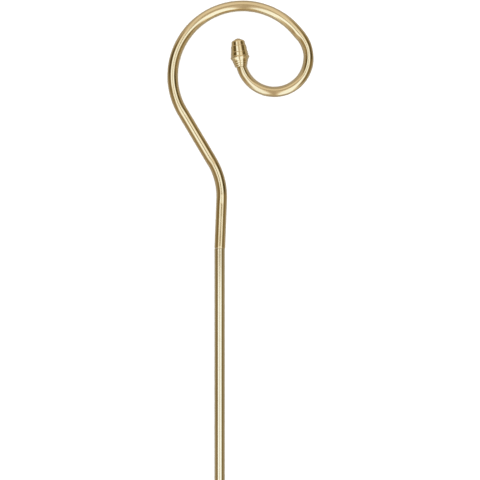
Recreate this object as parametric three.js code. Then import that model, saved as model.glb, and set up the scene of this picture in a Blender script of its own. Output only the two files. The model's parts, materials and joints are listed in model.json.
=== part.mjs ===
// A bishop's crosier of bent and turned metal tube, lying down as it does when it is not carried.
// Millimetres, +Z up. The staff runs along Y with its crook at the +Y end, and the crook curls
// over towards +X. The origin is on the surface that it lies on, at the middle of its outline.

import * as THREE from "three";

// Driving dimensions

const STAFF_LENGTH = 1800;
const JOINT_GAP = 0.3;

const POLE_RADIUS = 11;
const POLE_EDGE = 0.4;
const FOOT_CAP_LENGTH = 32;
const FOOT_CAP_ROUND = 4;

const TUBE_RADIUS = 11.4;
const TUBE_SIDES = 20;
const TUBE_STEPS = 120;
const TURNED_SIDES = 40;

// The crook is one tube: each stretch is a straight run and then a bend, which turns the line
// left where its angle is positive and right where it is negative. It leaves the pole leaning
// a little, and a little off the pole's axis.
const CROOK_LEAN = radians(2.2);
const CROOK_OFFSET = 0.3;
const CROOK_STRETCHES = [
  { straight: 104.2, radius: 143.7, turn: radians(32.9) },
  { straight: 123.1, radius: 148.2, turn: radians(-170.1) },
  { straight: 14.3, radius: 72.1, turn: radians(-205) },
];

// The finial stands nearer to upright than the end of the curl that carries it, a little to
// the side of the tube's middle.
const FINIAL_LEAN = radians(7);
const FINIAL_OFFSET = 1.2;

// The finial's rings, from the foot of its collar up, and then its lip, bands, shoulder and
// dome, by their heights above that foot
const RING_HEIGHT = 4.5;
const RING_RADII = [12.9, 14.4, 16];
const RING_DEPTH = 0.6;
const LIP_RADIUS = 20.2;
const LIP_FLANK_HEIGHT = 18.6;
const LIP_HEIGHT = 21.4;
const BANDS = [
  { low: 23.1, high: 31.1, lowRadius: 18.5, highRadius: 17.7 },
  { low: 31.6, high: 44.4, lowRadius: 17.1, highRadius: 15.8 },
  { low: 44.9, high: 51, lowRadius: 14.8, highRadius: 14.1 },
];
const BAND_CROWN = 0.3;
const BAND_EDGE = 0.3;
const CREASE_DEPTH = 0.9;
const SHOULDER_HEIGHT = 55.9;
const DOME_RADIUS = 8.6;
const FINIAL_HEIGHT = 60.4;

const warmGold = new THREE.MeshStandardMaterial({
  color: 0xd8b26a,
  roughness: 0.14,
  metalness: 1,
});

const paleGold = new THREE.MeshStandardMaterial({
  color: 0xd9c798,
  roughness: 0.18,
  metalness: 1,
});

function radians(degrees) {
  return THREE.MathUtils.degToRad(degrees);
}

// The crook's centre line

const POLE_HEADING = Math.PI / 2;
const FINIAL_HEADING = Math.PI / 2 + FINIAL_LEAN;
const CROOK_LINE_LENGTH = CROOK_STRETCHES.reduce(
  (sum, stretch) => sum + stretch.straight + stretch.radius * Math.abs(stretch.turn),
  0,
);

// The place and heading of the centre line, a given length along it from the top of the pole
function alongCrook(length) {
  let left = length;
  let heading = POLE_HEADING - CROOK_LEAN;
  const place = new THREE.Vector2(CROOK_OFFSET, 0);
  const advance = (distance, direction) => {
    place.x += distance * Math.cos(direction);
    place.y += distance * Math.sin(direction);
  };
  for (const { straight, radius, turn } of CROOK_STRETCHES) {
    const run = Math.min(left, straight);
    advance(run, heading);
    left -= run;
    const arc = Math.min(left, radius * Math.abs(turn));
    const turned = (Math.sign(turn) * arc) / radius;
    const chord = 2 * radius * Math.sin(arc / radius / 2);
    advance(chord, heading + turned / 2);
    left -= arc;
    heading += turned;
  }
  return { place, heading };
}

// The line as a curve. Both ends of the tube are cut square to the piece that they meet.
class CrookLine extends THREE.Curve {
  getPoint(share, target = new THREE.Vector3()) {
    const { place } = alongCrook(share * CROOK_LINE_LENGTH);
    return target.set(place.x, place.y, 0);
  }

  getTangent(share, target = new THREE.Vector3()) {
    let { heading } = alongCrook(share * CROOK_LINE_LENGTH);
    if (share === 0) heading = POLE_HEADING;
    if (share === 1) heading = FINIAL_HEADING;
    return target.set(Math.cos(heading), Math.sin(heading), 0);
  }
}

function circle(radius, sides) {
  const points = [];
  for (let side = 0; side < sides; side += 1) {
    const angle = (2 * Math.PI * side) / sides;
    points.push(new THREE.Vector2(radius * Math.cos(angle), radius * Math.sin(angle)));
  }
  return new THREE.Shape(points);
}

function crookGeometry() {
  return new THREE.ExtrudeGeometry(circle(TUBE_RADIUS, TUBE_SIDES), {
    extrudePath: new CrookLine(),
    steps: TUBE_STEPS,
  });
}

// Turned pieces: outlines from the axis out and back to it, as [radius, height]

function turned(outline) {
  const points = outline.map(([radius, height]) => new THREE.Vector2(radius, height));
  return new THREE.LatheGeometry(points, TURNED_SIDES);
}

function poleGeometry(length) {
  return turned([
    [0, 0],
    [POLE_RADIUS - POLE_EDGE, 0],
    [POLE_RADIUS, POLE_EDGE],
    [POLE_RADIUS, length - POLE_EDGE],
    [POLE_RADIUS - POLE_EDGE, length],
    [0, length],
  ]);
}

// A quarter round takes the cap's side into its flat end.
function footCapGeometry() {
  const roundSteps = 4;
  const outline = [[0, 0]];
  for (let step = 0; step <= roundSteps; step += 1) {
    const angle = (Math.PI / 2) * (step / roundSteps);
    outline.push([
      POLE_RADIUS - FOOT_CAP_ROUND * (1 - Math.sin(angle)),
      FOOT_CAP_ROUND * (1 - Math.cos(angle)),
    ]);
  }
  outline.push([POLE_RADIUS, FOOT_CAP_LENGTH - POLE_EDGE]);
  outline.push([POLE_RADIUS - POLE_EDGE, FOOT_CAP_LENGTH]);
  outline.push([0, FOOT_CAP_LENGTH]);
  return turned(outline);
}

// The collar is a stack of beads that grow wider towards the lip.
function collarOutline() {
  const steps = 4;
  return RING_RADII.flatMap((radius, ring) => {
    const bead = [];
    for (let step = 0; step <= steps; step += 1) {
      const rise = step / steps;
      const inset = RING_DEPTH * (1 - Math.sin(Math.PI * rise));
      const groove = ring > 0 && step === 0 ? BAND_EDGE : 0;
      bead.push([radius - inset, RING_HEIGHT * (ring + rise) + groove]);
    }
    return bead;
  });
}

// The lip flares out from the collar, and steps in above its edge to the first crease.
function lipOutline() {
  return [
    [LIP_RADIUS - BAND_EDGE, LIP_FLANK_HEIGHT],
    [LIP_RADIUS, LIP_FLANK_HEIGHT + BAND_EDGE],
    [LIP_RADIUS, LIP_HEIGHT - 3 * BAND_EDGE],
    [LIP_RADIUS - 2 * BAND_EDGE, LIP_HEIGHT],
    [BANDS[0].lowRadius, LIP_HEIGHT + BAND_EDGE],
  ];
}

// A band is a drum with slightly crowned sides, between two creases.
function bandOutline({ low, high, lowRadius, highRadius }) {
  const steps = 3;
  const outline = [[lowRadius - CREASE_DEPTH, low]];
  for (let step = 0; step <= steps; step += 1) {
    const rise = step / steps;
    const crown = BAND_CROWN * Math.sin(Math.PI * rise);
    outline.push([
      THREE.MathUtils.lerp(lowRadius, highRadius, rise) + crown,
      THREE.MathUtils.lerp(low + BAND_EDGE, high - BAND_EDGE, rise),
    ]);
  }
  outline.push([highRadius - CREASE_DEPTH, high]);
  return outline;
}

// A quarter of an ellipse, from its side up to its top, where it is centred on a given radius
function quarterRound(innerRadius, outerRadius, low, high) {
  const steps = 4;
  const outline = [];
  for (let step = 0; step <= steps; step += 1) {
    const angle = (Math.PI / 2) * (step / steps);
    outline.push([
      innerRadius + (outerRadius - innerRadius) * Math.cos(angle),
      low + (high - low) * Math.sin(angle),
    ]);
  }
  return outline;
}

function finialGeometry() {
  const [lowBand, middleBand, topBand] = BANDS;
  const outline = [
    [0, 0],
    ...collarOutline(),
    ...lipOutline(),
    ...bandOutline(lowBand),
    ...bandOutline(middleBand),
    ...bandOutline(topBand).slice(0, -1),
    ...quarterRound(DOME_RADIUS, topBand.highRadius, topBand.high, SHOULDER_HEIGHT),
    ...quarterRound(0, DOME_RADIUS, SHOULDER_HEIGHT + BAND_EDGE, FINIAL_HEIGHT),
  ];
  outline[outline.length - 1][0] = 0;
  return turned(outline);
}

// The staff, laid out with the pole on the Y axis, its foot at the origin and the crook in the
// XY plane

function piece(name, geometry, material) {
  const mesh = new THREE.Mesh(geometry, material);
  mesh.name = name;
  return mesh;
}

function highestPoint(curve) {
  const steps = 400;
  return Math.max(...curve.getPoints(steps).map((point) => point.y));
}

const crookHeight = highestPoint(new CrookLine()) + TUBE_RADIUS;
const seamHeight = STAFF_LENGTH - crookHeight;

function footCap() {
  return piece("foot_cap", footCapGeometry(), paleGold);
}

function pole() {
  const foot = FOOT_CAP_LENGTH + JOINT_GAP;
  const mesh = piece("pole", poleGeometry(seamHeight - JOINT_GAP - foot), paleGold);
  mesh.position.y = foot;
  return mesh;
}

function crook() {
  const mesh = piece("crook", crookGeometry(), warmGold);
  mesh.position.y = seamHeight;
  return mesh;
}

function finial() {
  const mesh = piece("finial", finialGeometry(), warmGold);
  const { place } = alongCrook(CROOK_LINE_LENGTH);
  mesh.position.set(place.x, seamHeight + place.y, 0);
  mesh.rotation.z = FINIAL_LEAN;
  mesh.translateX(-FINIAL_OFFSET);
  mesh.translateY(JOINT_GAP);
  return mesh;
}

// The staff lies on three points: the foot's edge, the outer side of the great bend and the
// finial's rim. This finds the plane through them, as the direction that points up from it.
function restingUp(pieces) {
  const trials = 8;
  let up = new THREE.Vector3(0, 0, 1);
  for (let trial = 0; trial < trials; trial += 1) {
    const [a, b, c] = pieces.map((mesh) => lowestPoint(mesh, up));
    up = b.sub(a).cross(c.sub(a)).normalize();
    if (up.z < 0) up.negate();
  }
  return up;
}

function lowestPoint(mesh, up) {
  mesh.updateMatrixWorld();
  const places = mesh.geometry.getAttribute("position");
  const place = new THREE.Vector3();
  const lowest = new THREE.Vector3();
  let least = Infinity;
  for (let index = 0; index < places.count; index += 1) {
    place.fromBufferAttribute(places, index).applyMatrix4(mesh.matrixWorld);
    if (place.dot(up) < least) {
      least = place.dot(up);
      lowest.copy(place);
    }
  }
  return lowest;
}

function lyingDown(staff, restsOn) {
  staff.quaternion.setFromUnitVectors(restingUp(restsOn), new THREE.Vector3(0, 0, 1));
  staff.updateMatrixWorld(true);
  const box = new THREE.Box3().setFromObject(staff, true);
  staff.position.set(-(box.min.x + box.max.x) / 2, -(box.min.y + box.max.y) / 2, -box.min.z);
  return staff;
}

const staffFoot = footCap();
const staffCrook = crook();
const staffFinial = finial();
const staff = new THREE.Group();
staff.add(staffFoot, pole(), staffCrook, staffFinial);

const crosier = new THREE.Group();
crosier.add(lyingDown(staff, [staffFoot, staffCrook, staffFinial]));

export default crosier;
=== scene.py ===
"""A bishop's crosier of polished gold-coloured tube, lying on a pale floor and seen from above."""

import json
import math

import bpy
import numpy as np
from mathutils import Matrix, Vector


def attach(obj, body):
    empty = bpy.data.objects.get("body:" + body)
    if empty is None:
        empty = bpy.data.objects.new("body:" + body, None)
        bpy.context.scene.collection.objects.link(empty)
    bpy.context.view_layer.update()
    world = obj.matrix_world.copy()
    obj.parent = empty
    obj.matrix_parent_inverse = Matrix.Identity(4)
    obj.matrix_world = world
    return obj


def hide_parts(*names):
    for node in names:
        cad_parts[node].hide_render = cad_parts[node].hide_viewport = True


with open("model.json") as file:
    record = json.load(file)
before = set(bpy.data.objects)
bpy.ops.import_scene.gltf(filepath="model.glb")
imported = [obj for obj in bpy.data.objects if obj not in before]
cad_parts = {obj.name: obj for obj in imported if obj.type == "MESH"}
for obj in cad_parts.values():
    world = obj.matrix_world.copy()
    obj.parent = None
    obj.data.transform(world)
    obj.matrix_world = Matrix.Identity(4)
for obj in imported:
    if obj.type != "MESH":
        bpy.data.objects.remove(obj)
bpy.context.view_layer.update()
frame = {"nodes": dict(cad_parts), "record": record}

# ---------------------------------------------------------------------------------------------
# The staff's own frame: its foot at the origin, the pole along +Y, the crook in the XY plane.
# Pieces are made in it, in metres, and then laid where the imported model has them.


def node_points(name):
    """A CAD node's points, in metres."""
    vertices = frame["nodes"][name].data.vertices
    points = np.empty(len(vertices) * 3)
    vertices.foreach_get("co", points)
    return points.reshape(-1, 3)


def staff_matrix():
    """The staff's frame in the scene, from the foot's mount and the plane of the crook."""
    foot = next(m for m in frame["record"]["mounts"] if m["name"] == "foot")
    along = -Vector(foot["axis"]).normalized()
    points = node_points("crook")
    flattest = np.linalg.svd(points - points.mean(0), full_matrices=False)[2][2]
    up = Vector(flattest) * math.copysign(1, flattest[2])
    up = (up - along * up.dot(along)).normalized()
    side = along.cross(up)
    matrix = Matrix((side, along, up)).transposed().to_4x4()
    matrix.translation = Vector(foot["pos_m"])
    return matrix


STAFF = staff_matrix()


def node_span(name):
    """A CAD node's lowest and highest corner in the staff's frame."""
    to_staff = np.array(STAFF.inverted())
    points = node_points(name) @ to_staff[:3, :3].T + to_staff[:3, 3]
    return points.min(0), points.max(0)


FOOT_TOP = node_span("foot_cap")[1][1]
POLE_LOW, POLE_HIGH = node_span("pole")
CROOK_LOW, CROOK_HIGH = node_span("crook")

# The scene's tubes are a hair thinner than the solids, and so stay inside their box.
HAIR = 0.00004
POLE_RADIUS = POLE_HIGH[2] - HAIR
TUBE_RADIUS = CROOK_HIGH[2] - HAIR
POLE_TOP = POLE_HIGH[1]
SEAM = CROOK_LOW[1]

# The crook's line: a straight run and then a bend, three times over. A bend to the left is
# positive. The line leaves the pole leaning a little, and a little off its axis. A program fitted
# the runs, radii and turns to the measured line, apart from the last turn.
CROOK_LEAN = math.radians(2.2)
CROOK_OFFSET = 0.0003
CROOK_STRETCHES = (
    (0.1042, 0.1437, math.radians(32.9)),
    (0.1231, 0.1482, math.radians(-170.1)),
    (0.0143, 0.0721, math.radians(-205)),
)
CROOK_LENGTH = sum(straight + radius * abs(turn) for straight, radius, turn in CROOK_STRETCHES)

# The finial leans a little to the left of the pole's direction, a little off the line's end.
FINIAL_LEAN = math.radians(7)
FINIAL_OFFSET = 0.0012
FINIAL_GAP = 0.0003


def along_crook(length):
    """The line's place and heading in the staff's frame, a length along it from the seam."""
    x, y = CROOK_OFFSET, SEAM
    heading = math.pi / 2 - CROOK_LEAN
    for straight, radius, turn in CROOK_STRETCHES:
        run = min(length, straight)
        arc = min(length - run, radius * abs(turn))
        angle = math.copysign(arc / radius, turn)
        chord = 2 * radius * math.sin(arc / radius / 2)
        x += run * math.cos(heading) + chord * math.cos(heading + angle / 2)
        y += run * math.sin(heading) + chord * math.sin(heading + angle / 2)
        heading += angle
        length -= run + arc
    return x, y, heading


# ---------------------------------------------------------------------------------------------
# Meshes


def piece(name, points, faces, material, place=Matrix.Identity(4)):
    """A smooth-shaded mesh whose points are given in the staff's frame, moved by place."""
    mesh = bpy.data.meshes.new(name)
    mesh.from_pydata([tuple(p) for p in points], [], faces)
    mesh.transform(STAFF @ place)
    mesh.polygons.foreach_set("use_smooth", [True] * len(mesh.polygons))
    mesh.materials.append(material)
    mesh.validate()
    obj = bpy.data.objects.new(name, mesh)
    bpy.context.scene.collection.objects.link(obj)
    return obj


def ring_faces(rings, sides):
    """Quads between closed rings of points, one ring after the other, and a fan at each end,
    whose middle points follow the rings."""
    faces = []
    for ring in range(rings - 1):
        for side in range(sides):
            after = (side + 1) % sides
            low, high = ring * sides, (ring + 1) * sides
            faces.append((low + side, low + after, high + after, high + side))
    first, last = rings * sides, rings * sides + 1
    top = (rings - 1) * sides
    for side in range(sides):
        after = (side + 1) % sides
        faces.append((after, side, first))
        faces.append((top + side, top + after, last))
    return faces


def store(obj, name, kind, values):
    """Keeps a value for each point on the mesh, for the material to read."""
    attribute = obj.data.attributes.new(name, kind, "POINT")
    field = "vector" if kind == "FLOAT_VECTOR" else "value"
    attribute.data.foreach_set(field, np.asarray(values, np.float32).ravel())


def turned_piece(name, outline, material, sides, place=Matrix.Identity(4)):
    """A piece turned about the Y axis. The outline goes from the axis at its low end to the
    axis at its high end, as (radius, height, grime)."""
    rings = outline[1:-1]
    angles = np.arange(sides) * 2 * math.pi / sides
    points, straight, grime = [], [], []
    for radius, height, dirt in rings:
        for angle in angles:
            points.append((radius * math.sin(angle), height, radius * math.cos(angle)))
            straight.append((height, radius * math.cos(angle), radius * math.sin(angle)))
            grime.append(dirt)
    for _, height, dirt in (outline[0], outline[-1]):
        points.append((0, height, 0))
        straight.append((height, 0, 0))
        grime.append(dirt)
    obj = piece(name, points, ring_faces(len(rings), sides), material, place)
    store(obj, "straight", "FLOAT_VECTOR", straight)
    store(obj, "grime", "FLOAT", grime)
    return obj


def smooth_step(low, high, value):
    share = min(1.0, max(0.0, (value - low) / (high - low)))
    return share * share * (3 - 2 * share)


def rounded(corners, radius, steps=4):
    """Rounds the corners of an outline of (radius, height) with small arcs. A further point
    close to each end of an arc keeps the shading of the straight runs straight."""
    run_share, margin = 0.4, 0.2
    outline = [corners[0]]
    for before, corner, after in zip(corners, corners[1:], corners[2:]):
        a, b, c = (Vector(p) for p in (before, corner, after))
        reach = min(radius, (a - b).length * run_share, (c - b).length * run_share)
        back, ahead = (a - b).normalized(), (c - b).normalized()
        start, end = b + back * reach, b + ahead * reach
        arc = [start + back * reach * margin]
        for step in range(steps + 1):
            share = step / steps
            arc.append(start.lerp(b, share).lerp(b.lerp(end, share), share))
        arc.append(end + ahead * reach * margin)
        outline += [tuple(point) for point in arc]
    outline.append(corners[-1])
    return outline


def clean(outline):
    """An outline of (radius, height) with no grime on it."""
    return [(radius, height, 0.0) for radius, height in outline]


# ---------------------------------------------------------------------------------------------
# The crook: bent tube, with rounded edges at both ends


TUBE_SIDES = 96
TUBE_STEP = 0.0022
SEAM_ROUND = 0.0019
END_ROUND = 0.0005

# Bending has left the tube's section narrower and deeper, more peaked at its top and underside,
# and blunter on the outer side of each bend. These are shares of the tube's radius: the first
# two for the square of the bend's sharpness, the others for the sharpness itself.
NARROWING = 1.3
DEEPENING = 2.0
PEAKING = 0.5
BLUNTNESS = (1.5, 0.5)

# The tube is nipped in where the curl begins, and is a little wider along two runs, each given
# by its start, its end and its share of extra width.
NIP_PLACE = 0.806
NIP_LENGTH = 0.014
NIP_DEPTH = 0.04
WIDE_RUNS = ((0.185, 0.325, 0.03), (0.705, 0.77, 0.025))

# The crook lies tilted, its left arc on the floor and its curl raised. So the deeper section
# grows upward in the left arc and downward in the curl, and changes over between these lengths.
CHANGE_OVER = (0.5, 0.7)


def bend_at(length):
    """How sharply the tube bends here, as its radius over the bend's, eased at the bends' ends.
    A bend to the left is positive."""
    ease = 0.012
    start, sharpness = 0.0, 0.0
    for straight, radius, turn in CROOK_STRETCHES:
        start += straight
        end = start + radius * abs(turn)
        inside = smooth_step(start - ease, start + ease, length)
        if end < CROOK_LENGTH - ease:
            inside -= smooth_step(end - ease, end + ease, length)
        sharpness += math.copysign(inside * TUBE_RADIUS / radius, turn)
        start = end
    return sharpness


def width_share(length):
    """The tube's half width in the plane of its bends, as a share of its radius."""
    share = 1 - NARROWING * bend_at(length) ** 2
    share -= NIP_DEPTH * math.exp(-(((length - NIP_PLACE) / NIP_LENGTH) ** 2))
    ease = 0.015
    for start, end, extra in WIDE_RUNS:
        inside = smooth_step(start - ease, start + ease, length)
        share += extra * (inside - smooth_step(end - ease, end + ease, length))
    return share


def rise_at(length, extra_depth):
    """How far the deeper section sits above the tube's line, or below it, and level with it
    again at the finial."""
    near_end = smooth_step(CROOK_LENGTH - 0.025, CROOK_LENGTH - 0.005, length)
    return extra_depth * (1 - 2 * smooth_step(*CHANGE_OVER, length)) * (1 - near_end)


def rounding(radius, steps=8):
    """A rounded edge from a tube's end, as (length, inset)."""
    angles = [math.pi / 2 * step / steps for step in range(steps)]
    return [(radius * (1 - math.cos(a)), radius * (1 - math.sin(a))) for a in angles]


def crook_stations():
    """Where the tube's sections are along it, as (length, inset)."""
    body_length = CROOK_LENGTH - SEAM_ROUND - END_ROUND
    count = round(body_length / TUBE_STEP)
    body = [(SEAM_ROUND + body_length * step / count, 0.0) for step in range(count + 1)]
    far_edge = [(CROOK_LENGTH - length, inset) for length, inset in reversed(rounding(END_ROUND))]
    return rounding(SEAM_ROUND) + body + far_edge


def crook_section(length, inset):
    """The section's outline, as (across, up) from the tube's line."""
    bend = bend_at(length)
    peaking = PEAKING * abs(bend)
    half_width = TUBE_RADIUS * width_share(length) - inset
    extra_depth = TUBE_RADIUS * (DEEPENING * bend**2 + peaking)
    half_depth = (TUBE_RADIUS + extra_depth) / (1 + peaking) - inset
    rise = rise_at(length, extra_depth)
    outline = []
    for side in range(TUBE_SIDES):
        angle = 2 * math.pi * side / TUBE_SIDES
        blunt = BLUNTNESS[0] * math.cos(angle) + BLUNTNESS[1] * math.cos(3 * angle)
        swell = 1 + bend * blunt - peaking * math.cos(2 * angle)
        up = rise + half_depth * math.sin(angle) * swell
        outline.append((half_width * math.cos(angle), up))
    return outline


def square_to(length, heading):
    """The heading that a section is square to: the line's, and the finial's at the far end."""
    near_end = smooth_step(CROOK_LENGTH - 0.016, CROOK_LENGTH, length)
    turn = math.remainder(math.pi / 2 + FINIAL_LEAN - heading, 2 * math.pi)
    return heading + turn * near_end


def crook_tube(material):
    points, straight = [], []
    stations = crook_stations()
    for length, inset in stations:
        x, y, heading = along_crook(length)
        square = square_to(length, heading)
        for across, up in crook_section(length, inset):
            points.append((x + across * math.sin(square), y - across * math.cos(square), up))
            straight.append((length, across, up))
    for length in (stations[0][0], stations[-1][0]):
        x, y, _ = along_crook(length)
        points.append((x, y, 0))
        straight.append((length, 0, 0))
    obj = piece("crook_tube", points, ring_faces(len(stations), TUBE_SIDES), material)
    store(obj, "straight", "FLOAT_VECTOR", straight)
    store(obj, "grime", "FLOAT", np.zeros(len(points)))
    return obj


# ---------------------------------------------------------------------------------------------
# The pole and its foot cap


POLE_SIDES = 128
NECK_RADIUS = 0.0103
POLE_ROUND = 0.001
FOOT_ROUND = 0.004
CAP_ROUND = 0.0004


def pole_tube(material):
    """The pole, with the neck that the crook is pushed onto, as far as it shows in the joint."""
    neck_top = SEAM - 0.00002
    corners = [
        (0, POLE_LOW[1]),
        (POLE_RADIUS, POLE_LOW[1]),
        (POLE_RADIUS, POLE_TOP),
        (NECK_RADIUS, POLE_TOP),
        (NECK_RADIUS, neck_top),
        (0, neck_top),
    ]
    outline = rounded(corners, POLE_ROUND, 6)
    return turned_piece("pole_tube", clean(outline), material, POLE_SIDES)


def foot_end(material, steps=12):
    """The cap that closes the pole, with a rounded lower edge."""
    outline = [(0, 0), (POLE_RADIUS - FOOT_ROUND, 0)]
    for step in range(1, steps + 1):
        angle = math.pi / 2 * step / steps
        outline.append((
            POLE_RADIUS - FOOT_ROUND * (1 - math.sin(angle)),
            FOOT_ROUND * (1 - math.cos(angle)),
        ))
    upper_edge = [outline[-1], (POLE_RADIUS, FOOT_TOP), (0, FOOT_TOP)]
    outline += rounded(upper_edge, CAP_ROUND, 6)[1:]
    return turned_piece("foot_end", clean(outline), material, POLE_SIDES)


# ---------------------------------------------------------------------------------------------
# The finial: a collar of three rings, a lip, three bands, a shoulder and a low dome. Grooves
# part the rings and the bands. Outlines are given as (radius, height), a band as its lower and
# its upper corner, and a groove by its middle, its half width and its depth.


FINIAL_SIDES = 160
FINEST_RUN = 0.00025
COLLAR = ((0.0121, 0.0), (0.013, 0.0035), (0.0145, 0.008), (0.016, 0.0124))
RING_CROWN = 0.0005
LIP_RADIUS = 0.02008
LIP_HEIGHT = 0.0193
COVE_CURVE = 1.12
LIP_TOP = ((0.01985, 0.021), (0.0184, 0.0231))
EDGE_ROUND = 0.0003
BANDS = (
    (0.01845, 0.0231, 0.0178, 0.0314),
    (0.0172, 0.0314, 0.016, 0.0451),
    (0.01475, 0.0451, 0.0141, 0.0518),
)
STEP_REACH = 0.0008
SHOULDER_HEIGHT = 0.0567
DOME_RADIUS = 0.0084
FINIAL_HEIGHT = 0.0604
GROOVES = (
    (0.0035, 0.0004, 0.00015),
    (0.008, 0.0004, 0.00015),
    (0.0124, 0.0004, 0.00015),
    (0.0231, 0.0009, 0.0004),
    (0.0314, 0.0011, 0.0006),
    (0.0451, 0.0011, 0.0006),
)


def rings(steps=8):
    """The collar's crowned rings, each from one groove to the next."""
    outline = [COLLAR[0]]
    for (low_radius, low), (high_radius, high) in zip(COLLAR, COLLAR[1:]):
        for step in range(1, steps + 1):
            share = step / steps
            crown = RING_CROWN * 4 * share * (1 - share)
            radius = low_radius + (high_radius - low_radius) * share + crown
            outline.append((radius, low + (high - low) * share))
    return outline


def cove(steps=8):
    """The hollow curve from the top of the collar out to the lip."""
    (radius, height) = COLLAR[-1]
    outline = []
    for step in range(1, steps + 1):
        share = step / steps
        flare = (LIP_RADIUS - radius) * share**COVE_CURVE
        outline.append((radius + flare, height + (LIP_HEIGHT - height) * share))
    return outline


def band_corners():
    """The bands' corners, each step between two bands spread over the groove there."""
    corners = []
    for low_radius, low, high_radius, high in BANDS:
        corners.append((low_radius, low + STEP_REACH))
        corners.append((high_radius, high - STEP_REACH))
    return corners


def quarter_round(inner_radius, outer_radius, low, high, steps=14):
    """A rounded shoulder, from its widest and lowest point up and inward."""
    outline = []
    for step in range(steps + 1):
        angle = math.pi / 2 * step / steps
        radius = inner_radius + (outer_radius - inner_radius) * math.cos(angle)
        outline.append((radius, low + (high - low) * math.sin(angle)))
    return outline


def dome(steps=18):
    """A cap of a sphere, from its rim to its tip."""
    rise = FINIAL_HEIGHT - SHOULDER_HEIGHT
    ball_radius = (DOME_RADIUS**2 + rise**2) / (2 * rise)
    widest = math.asin(DOME_RADIUS / ball_radius)
    outline = []
    for step in range(steps + 1):
        angle = widest * (1 - step / steps)
        height = FINIAL_HEIGHT - ball_radius * (1 - math.cos(angle))
        outline.append((ball_radius * math.sin(angle), height))
    return outline


def divided(outline, longest):
    """The outline with points added, so that no run between two points is longer."""
    points = [outline[0]]
    for before, after in zip(outline, outline[1:]):
        count = math.ceil(math.dist(before, after) / longest)
        for step in range(1, count + 1):
            share = step / count
            points.append(tuple(a + (b - a) * share for a, b in zip(before, after)))
    return points


def grooved(outline):
    """Cuts the grooves into an outline, and lets a little grime settle in them."""
    points = []
    for radius, height in outline:
        depth, grime = 0.0, 0.0
        for middle, half_width, deepest in GROOVES:
            away = min(1, abs(height - middle) / half_width)
            share = math.cos(math.pi / 2 * away) ** 2
            depth += deepest * share
            grime += share**2
        points.append((radius - depth, height, grime))
    return points


def finial_bud(material):
    upper = rounded([cove()[-1], *LIP_TOP, *band_corners()], EDGE_ROUND)
    shoulder = quarter_round(DOME_RADIUS, BANDS[-1][2], BANDS[-1][3], SHOULDER_HEIGHT)
    body = [(0.002, 0), *rings(), *cove(), *upper[1:-1], *shoulder, *dome()[1:]]
    outline = [(0, 0, 0.0)] + grooved(divided(body, FINEST_RUN))
    x, y, _ = along_crook(CROOK_LENGTH)
    place = Matrix.Translation((x, y, 0)) @ Matrix.Rotation(FINIAL_LEAN, 4, "Z")
    place = place @ Matrix.Translation((-FINIAL_OFFSET, FINIAL_GAP, 0))
    return turned_piece("finial_bud", outline, material, FINIAL_SIDES, place)


# ---------------------------------------------------------------------------------------------
# Materials


class Graph:
    """Adds shader nodes to a tree, and links whatever they are given."""

    def __init__(self, tree):
        self.tree = tree
        tree.nodes.clear()

    def add(self, kind, settings=(), **inputs):
        node = self.tree.nodes.new(kind)
        for name, value in dict(settings).items():
            setattr(node, name, value)
        for name, value in inputs.items():
            self.feed(node.inputs[name.replace("_", " ")], value)
        return node

    def feed(self, socket, value):
        if isinstance(value, bpy.types.NodeSocket):
            self.tree.links.new(value, socket)
        else:
            socket.default_value = value

    def math(self, operation, *values, clamp=False):
        node = self.tree.nodes.new("ShaderNodeMath")
        node.operation = operation
        node.use_clamp = clamp
        for socket, value in zip(node.inputs, values):
            self.feed(socket, value)
        return node.outputs[0]

    def ramp(self, value, low, high, to_low=0.0, to_high=1.0):
        """A smooth step from to_low to to_high while value goes from low to high."""
        node = self.tree.nodes.new("ShaderNodeMapRange")
        node.interpolation_type = "SMOOTHSTEP"
        for socket, number in zip(node.inputs, (value, low, high, to_low, to_high)):
            self.feed(socket, number)
        return node.outputs[0]

    def mix(self, share, first, second):
        """The first colour where share is 0, and the second where it is 1."""
        node = self.add("ShaderNodeMix", {"data_type": "RGBA"})
        self.feed(node.inputs["Factor"], share)
        self.feed(node.inputs[6], first)
        self.feed(node.inputs[7], second)
        return node.outputs[2]


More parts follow.
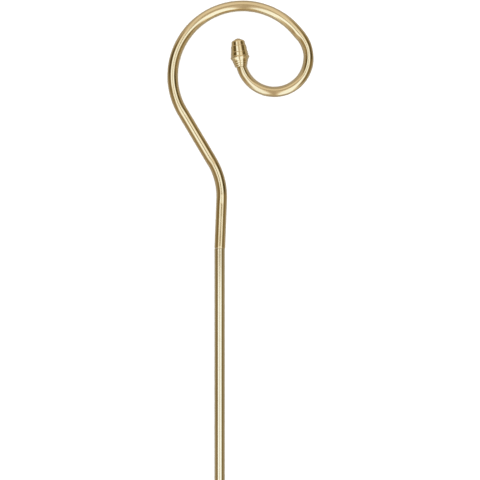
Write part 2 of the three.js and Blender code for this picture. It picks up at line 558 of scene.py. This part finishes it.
def gold(name, tint, dark_tint, roughness):
    """Polished metal, with duller patches, smudges, fine scratches along the tube and grime."""
    material = bpy.data.materials.new(name)
    material.use_nodes = True
    graph = Graph(material.node_tree)
    straight = graph.add("ShaderNodeAttribute", {"attribute_name": "straight"}).outputs["Vector"]
    grime = graph.add("ShaderNodeAttribute", {"attribute_name": "grime"}).outputs["Fac"]

    def noise(scale, stretch=(1, 1, 1), detail=3.0):
        """Noise over the piece as if it were straight, along x. A larger scale is finer."""
        mapping = graph.add("ShaderNodeMapping", Vector=straight, Scale=stretch)
        return graph.add(
            "ShaderNodeTexNoise", Vector=mapping.outputs[0], Scale=scale, Detail=detail
        ).outputs["Fac"]

    smudges = graph.ramp(noise(28.0), 0.42, 0.68)
    patches = noise(9.0)
    polish = noise(900.0, (1, 0.03, 0.03), 2.0)
    scratches = graph.ramp(noise(260.0, (0.05, 1, 1), 1.0), 0.68, 0.74)
    dirt = graph.math("MULTIPLY", grime, graph.ramp(noise(160.0), 0.25, 0.7, 0.35, 1.0))

    wear = graph.ramp(patches, 0.3, 0.7, 0.0, 0.12)
    shade = graph.math("ADD", wear, graph.math("MULTIPLY", dirt, 0.7), clamp=True)
    colour = graph.mix(shade, (*tint, 1), (*dark_tint, 1))

    rough = graph.math("MULTIPLY_ADD", smudges, 0.05, roughness)
    rough = graph.math("MULTIPLY_ADD", polish, 0.02, rough)
    rough = graph.math("MULTIPLY_ADD", dirt, 0.3, rough)

    relief = graph.math("MULTIPLY_ADD", scratches, -0.6, graph.math("MULTIPLY", polish, 0.35))
    bump = graph.add("ShaderNodeBump", Strength=0.01, Distance=0.0001, Height=relief)
    shader = graph.add("ShaderNodeBsdfPrincipled", Metallic=1.0)
    graph.feed(shader.inputs["Base Color"], colour)
    graph.feed(shader.inputs["Roughness"], rough)
    graph.feed(shader.inputs["Normal"], bump.outputs[0])
    graph.add("ShaderNodeOutputMaterial", Surface=shader.outputs[0])
    return material


# ---------------------------------------------------------------------------------------------
# The studio: a pale floor, soft light from all round, and a camera above the staff


def floor_material():
    material = bpy.data.materials.new("pale_floor")
    material.use_nodes = True
    graph = Graph(material.node_tree)
    shader = graph.add("ShaderNodeBsdfDiffuse", Color=(0.86, 0.86, 0.86, 1))
    graph.add("ShaderNodeOutputMaterial", Surface=shader.outputs[0])
    return material


def make_floor():
    half = 40.0
    mesh = bpy.data.meshes.new("floor")
    mesh.from_pydata(
        [(-half, -half, 0), (half, -half, 0), (half, half, 0), (-half, half, 0)],
        [],
        [(0, 1, 2, 3)],
    )
    mesh.materials.append(floor_material())
    floor = bpy.data.objects.new("floor", mesh)
    floor.visible_glossy = False
    bpy.context.scene.collection.objects.link(floor)


# The camera's place in the staff's frame, and the width that it sees there.
CAMERA_PLACE = Vector((0.043, SEAM + 0.0176, 3.5))
SEEN_WIDTH = 1.0152
SOFT_LIGHT = (1.25, 1.25, 1.25)

# The studio as the polished staff mirrors it to the camera: a disc whose middle is straight up,
# with the horizon at 0.71 of its radius, and the crook's top towards +y. A tone is how bright
# the metal looks in it, from 0 to 1. The disc has an even tone, and fades to the floor's shade
# over the horizon. Each panel is given by its left, right, low and high side on the disc, its
# tone, and the softness of its sides. A later panel covers an earlier one. They are a broad
# light at the top and two low lights, the dark sides of the room and their darkest parts, two
# long soft boxes overhead, and the gaps and the camera's dark parts in and between the boxes.
# A program fitted 13 of the 16 panels, the even tone and the horizon to the bands of light on
# the real metal. They were then rounded, and moved a little.
EVEN_TONE = 0.597
HORIZON = (0.665, 0.85)
FLOOR_SHADE = (0.465, 0.44, 0.41)
PANELS = (
    (-0.37, 0.31, -0.07, 0.67, 0.77, 0.12),
    (-0.60, -0.16, -0.83, -0.50, 0.93, 0.057),
    (0.24, 0.60, -0.77, -0.50, 0.82, 0.057),
    (0.32, 1.20, -0.40, 0.48, 0.40, 0.022),
    (-1.20, -0.335, -0.10, 0.34, 0.40, 0.032),
    (-1.20, -0.44, -0.35, -0.09, 0.46, 0.028),
    (0.37, 1.20, 0.06, 0.33, 0.29, 0.08),
    (0.38, 1.20, 0.05, 0.12, 0.21, 0.06),
    (-1.20, -0.38, 0.065, 0.28, 0.265, 0.05),
    (0.06, 0.36, -0.70, 0.17, 0.965, 0.045),
    (-0.33, -0.055, -0.59, 0.16, 0.98, 0.045),
    (-0.15, 0.06, 0.15, 0.27, 0.57, 0.03),
    (-0.01, 0.01, -0.87, 0.13, 0.59, 0.009),
    (-0.30, 0.275, -0.01, 0.01, 0.785, 0.007),
    (-0.10, 0.14, -0.004, 0.012, 0.22, 0.005),
    (-0.052, 0.052, 0.006, 0.21, 0.60, 0.011),
)

# The light that makes the metal take on each tone.
TONES = (
    (0.0, (0.01, 0.006, 0.002)),
    (0.235, (0.084, 0.062, 0.024)),
    (0.44, (0.289, 0.225, 0.12)),
    (0.71, (0.727, 0.655, 0.606)),
    (0.84, (0.99, 0.978, 0.925)),
    (0.96, (1.165, 1.34, 1.66)),
)


def panel_share(graph, across, ahead, panel):
    """How far each place on the disc is inside a panel: 0 is outside and 1 inside."""
    left, right, low, high, _, soft = panel
    share = graph.ramp(across, left - soft, left + soft)
    for side in (
        graph.ramp(across, right - soft, right + soft, 1.0, 0.0),
        graph.ramp(ahead, low - soft, low + soft),
        graph.ramp(ahead, high - soft, high + soft, 1.0, 0.0),
    ):
        share = graph.math("MULTIPLY", share, side)
    return share


def tone_at(graph, across, ahead):
    """The tone at each place on the disc."""
    tone = EVEN_TONE
    for panel in PANELS:
        change = graph.math("SUBTRACT", panel[4], tone)
        tone = graph.math("MULTIPLY_ADD", panel_share(graph, across, ahead, panel), change, tone)
    return tone


def tone_light(graph, tone):
    """The light for a tone, blended between those in TONES."""
    colour = graph.add("ShaderNodeValToRGB", Fac=tone)
    stops = colour.color_ramp.elements
    stops[0].color = (*TONES[0][1], 1)
    stops[1].position = TONES[-1][0]
    stops[1].color = (*TONES[-1][1], 1)
    for position, light in TONES[1:-1]:
        stops.new(position).color = (*light, 1)
    return colour.outputs["Color"]


def mirrored_studio(graph):
    """The studio's light in each direction, as the disc has it."""
    direction = graph.add("ShaderNodeTexCoord").outputs["Generated"]
    turned = graph.add(
        "ShaderNodeMapping",
        {"vector_type": "VECTOR"},
        Vector=direction,
        Rotation=STAFF.to_3x3().inverted().to_euler(),
    )
    x, y, z = graph.add("ShaderNodeSeparateXYZ", Vector=turned.outputs[0]).outputs
    straight_down_guard = 0.0001
    reach = graph.math("SQRT", graph.math("MULTIPLY_ADD", z, 2.0, 2.0 + straight_down_guard))
    across = graph.math("DIVIDE", x, reach)
    ahead = graph.math("DIVIDE", y, reach)
    square = graph.math("MULTIPLY_ADD", across, across, graph.math("MULTIPLY", ahead, ahead))
    below = graph.ramp(graph.math("SQRT", square), *HORIZON)
    light = tone_light(graph, tone_at(graph, across, ahead))
    return graph.mix(below, light, (*FLOOR_SHADE, 1))


def make_world():
    """Even soft light on all that is matt, and the panels in all that is polished."""
    world = bpy.data.worlds.new("studio")
    bpy.context.scene.world = world
    world.use_nodes = True
    graph = Graph(world.node_tree)
    polished = graph.add("ShaderNodeLightPath").outputs["Is Glossy Ray"]
    light = graph.mix(polished, (*SOFT_LIGHT, 1), mirrored_studio(graph))
    background = graph.add("ShaderNodeBackground", Color=light)
    graph.add("ShaderNodeOutputWorld", Surface=background.outputs[0])


def make_overhead_light():
    """A round soft light at the camera. It lifts the shadows that the camera would see, and
    isn't mirrored in the metal."""
    light = bpy.data.lights.new("overhead", "AREA")
    light.shape = "DISK"
    light.size = 0.3
    light.energy = 60
    lamp = bpy.data.objects.new("overhead", light)
    lamp.visible_glossy = False
    lamp.matrix_world = STAFF @ Matrix.Translation(CAMERA_PLACE)
    bpy.context.scene.collection.objects.link(lamp)


def make_camera():
    """Square to the plane of the crook, above and a little to the right of the seam."""
    data = bpy.data.cameras.new("camera")
    data.sensor_width = 36.0
    data.lens = data.sensor_width * CAMERA_PLACE.z / SEEN_WIDTH
    camera = bpy.data.objects.new("camera", data)
    camera.matrix_world = STAFF @ Matrix.Translation(CAMERA_PLACE)
    bpy.context.scene.collection.objects.link(camera)
    bpy.context.scene.camera = camera


def finish_piece(obj, node):
    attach(obj, "root")
    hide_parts(node)


warm = gold("warm_gold", (0.84, 0.685, 0.4), (0.42, 0.25, 0.09), 0.08)
pale = gold("pale_gold", (0.86, 0.75, 0.505), (0.45, 0.33, 0.17), 0.08)
finish_piece(crook_tube(warm), "crook")
finish_piece(finial_bud(warm), "finial")
finish_piece(pole_tube(pale), "pole")
finish_piece(foot_end(pale), "foot_cap")

bpy.context.scene.view_settings.view_transform = "Standard"
make_floor()
make_world()
make_overhead_light()
make_camera()
